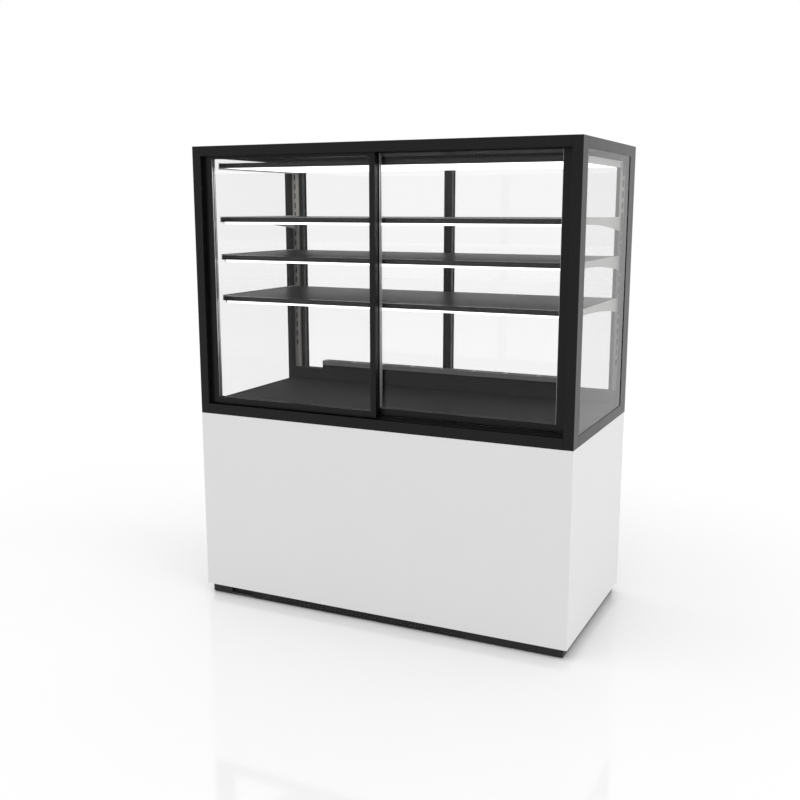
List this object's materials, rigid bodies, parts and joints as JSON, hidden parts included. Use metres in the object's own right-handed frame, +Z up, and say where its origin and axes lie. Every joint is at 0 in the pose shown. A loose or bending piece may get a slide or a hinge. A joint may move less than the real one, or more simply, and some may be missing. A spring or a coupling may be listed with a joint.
{
  "type": "refrigerated bakery display case",
  "caption": "Tall glazed bakery display case: white base, black framed cabin with sliding front doors, lit shelves and a lit canopy.",
  "frame": {"origin": "on the floor under the middle of the case", "axes": "+X to the right as a customer faces the doors, +Y to the rear, +Z up"},
  "size_m": [1.2, 0.585, 1.41],
  "materials": {
    "white_panel": "smooth white powder coat, satin",
    "black_frame": "black anodised, satin",
    "black_steel": "black powder coat, matt",
    "cabin_black": "black powder coat, satin",
    "glazing": "clear low-iron glass",
    "upright_grey": "grey zinc-rich coat, satin",
    "bracket_grey": "light grey powder coat",
    "shelf_black": "black powder coat, satin",
    "bar_black": "black anodised, satin",
    "light_strip": "opal diffuser over light diodes",
    "outlet_grey": "moulded grey",
    "roof_black": "foam core between black coated sheets",
    "foam": "rigid foam",
    "galvanised": "galvanised sheet",
    "compressor_black": "black enamel",
    "fin_aluminium": "bare fins",
    "copper": "bright copper",
    "fan_black": "moulded black",
    "foot_black": "moulded black",
    "nylon": "natural nylon",
    "control_black": "fine-textured black",
    "switch_black": "polished black"
  },
  "bodies": {
    "cabinet": {"front_panel": "white_panel", "left_side_panel": "white_panel", "right_side_panel": "white_panel", "rear_panel": "white_panel", "base_pan": "galvanised", "chassis_frame": "galvanised", "plinth_skirt": "black_steel", "plinth_grille": "black_steel", "compressor": "compressor_black", "condenser_coil": "fin_aluminium", "condenser_fan_shroud": "galvanised", "evaporator_coil": "fin_aluminium", "evaporator_fan_housing": "galvanised", "refrigerant_pipes": "copper", "control_panel": "control_black", "cable_gland": "control_black", "front_left_post": "black_frame", "front_right_post": "black_frame", "front_sill": "black_frame", "front_head_rail": "black_frame", "left_side_frame": "black_frame", "right_side_frame": "black_frame", "left_side_glass": "glazing", "right_side_glass": "glazing", "left_upright": "upright_grey", "right_upright": "upright_grey", "rear_frame": "black_frame", "rear_glass": "glazing", "roof_panel": "roof_black", "deck_insulation": "foam", "deck_tray": "cabin_black", "rear_air_duct": "cabin_black", "air_outlet_grille": "outlet_grey", "shelf_brackets": "bracket_grey", "canopy_housing": "bar_black", "canopy_diffuser": "light_strip"},
    "left_door": {"left_door_frame": "black_frame", "left_door_glass": "glazing"},
    "right_door": {"right_door_frame": "black_frame", "right_door_glass": "glazing"},
    "left_door_roller_a": {"left_door_roller_a": "nylon"},
    "left_door_roller_b": {"left_door_roller_b": "nylon"},
    "right_door_roller_a": {"right_door_roller_a": "nylon"},
    "right_door_roller_b": {"right_door_roller_b": "nylon"},
    "shelf_1": {"shelf_1_plate": "shelf_black", "shelf_1_front_bar": "bar_black", "shelf_1_light": "light_strip"},
    "shelf_2": {"shelf_2_plate": "shelf_black", "shelf_2_front_bar": "bar_black", "shelf_2_light": "light_strip"},
    "shelf_3": {"shelf_3_plate": "shelf_black", "shelf_3_front_bar": "bar_black", "shelf_3_light": "light_strip"},
    "condenser_fan": {"condenser_fan": "fan_black"},
    "evaporator_fan": {"evaporator_fan": "fan_black"},
    "light_switch": {"light_switch": "switch_black"},
    "front_left_foot": {"front_left_foot": "foot_black"},
    "front_right_foot": {"front_right_foot": "foot_black"},
    "rear_left_foot": {"rear_left_foot": "foot_black"},
    "rear_right_foot": {"rear_right_foot": "foot_black"}
  },
  "joints": [
    {"name": "left_door_slide", "type": "slide", "parent": "cabinet", "child": "left_door", "axis": [1, 0, 0], "range_m": [0, 0.545]},
    {"name": "right_door_slide", "type": "slide", "parent": "cabinet", "child": "right_door", "axis": [1, 0, 0], "range_m": [-0.545, 0]},
    {"name": "left_door_roller_a_turn", "type": "hinge", "parent": "left_door", "child": "left_door_roller_a", "pos_m": [-0.5112, -0.267, 0.6303], "axis": [0, 1, 0], "continuous": true},
    {"name": "left_door_roller_b_turn", "type": "hinge", "parent": "left_door", "child": "left_door_roller_b", "pos_m": [-0.054, -0.267, 0.6303], "axis": [0, 1, 0], "continuous": true},
    {"name": "right_door_roller_a_turn", "type": "hinge", "parent": "right_door", "child": "right_door_roller_a", "pos_m": [0.048, -0.242, 0.6368], "axis": [0, 1, 0], "continuous": true},
    {"name": "right_door_roller_b_turn", "type": "hinge", "parent": "right_door", "child": "right_door_roller_b", "pos_m": [0.5042, -0.242, 0.6368], "axis": [0, 1, 0], "continuous": true},
    {"name": "shelf_1_lift", "type": "slide", "parent": "cabinet", "child": "shelf_1", "axis": [0, 0, 1], "range_m": [0, 0.03]},
    {"name": "shelf_2_lift", "type": "slide", "parent": "cabinet", "child": "shelf_2", "axis": [0, 0, 1], "range_m": [0, 0.03]},
    {"name": "shelf_3_lift", "type": "slide", "parent": "cabinet", "child": "shelf_3", "axis": [0, 0, 1], "range_m": [0, 0.03]},
    {"name": "condenser_fan_spin", "type": "hinge", "parent": "cabinet", "child": "condenser_fan", "pos_m": [-0.28, -0.152, 0.19], "axis": [0, 1, 0], "continuous": true},
    {"name": "evaporator_fan_spin", "type": "hinge", "parent": "cabinet", "child": "evaporator_fan", "pos_m": [0, 0.1525, 0.534], "axis": [0, 1, 0], "continuous": true},
    {"name": "light_switch_rock", "type": "hinge", "parent": "cabinet", "child": "light_switch", "pos_m": [0.489, 0.289, 0.53], "axis": [1, 0, 0], "range_deg": [0, 8]},
    {"name": "front_left_foot_turn", "type": "hinge", "parent": "cabinet", "child": "front_left_foot", "pos_m": [-0.5655, -0.2555, 0.02], "axis": [0, 0, 1], "continuous": true},
    {"name": "front_right_foot_turn", "type": "hinge", "parent": "cabinet", "child": "front_right_foot", "pos_m": [0.5655, -0.2555, 0.02], "axis": [0, 0, 1], "continuous": true},
    {"name": "rear_left_foot_turn", "type": "hinge", "parent": "cabinet", "child": "rear_left_foot", "pos_m": [-0.5655, 0.2605, 0.02], "axis": [0, 0, 1], "continuous": true},
    {"name": "rear_right_foot_turn", "type": "hinge", "parent": "cabinet", "child": "rear_right_foot", "pos_m": [0.5655, 0.2605, 0.02], "axis": [0, 0, 1], "continuous": true}
  ],
  "couplings": [
    {"joint": "left_door_roller_a_turn", "follows": "left_door_slide", "rad_per_m": 142.86},
    {"joint": "left_door_roller_b_turn", "follows": "left_door_slide", "rad_per_m": 142.86},
    {"joint": "right_door_roller_a_turn", "follows": "right_door_slide", "rad_per_m": 142.86},
    {"joint": "right_door_roller_b_turn", "follows": "right_door_slide", "rad_per_m": 142.86}
  ]
}
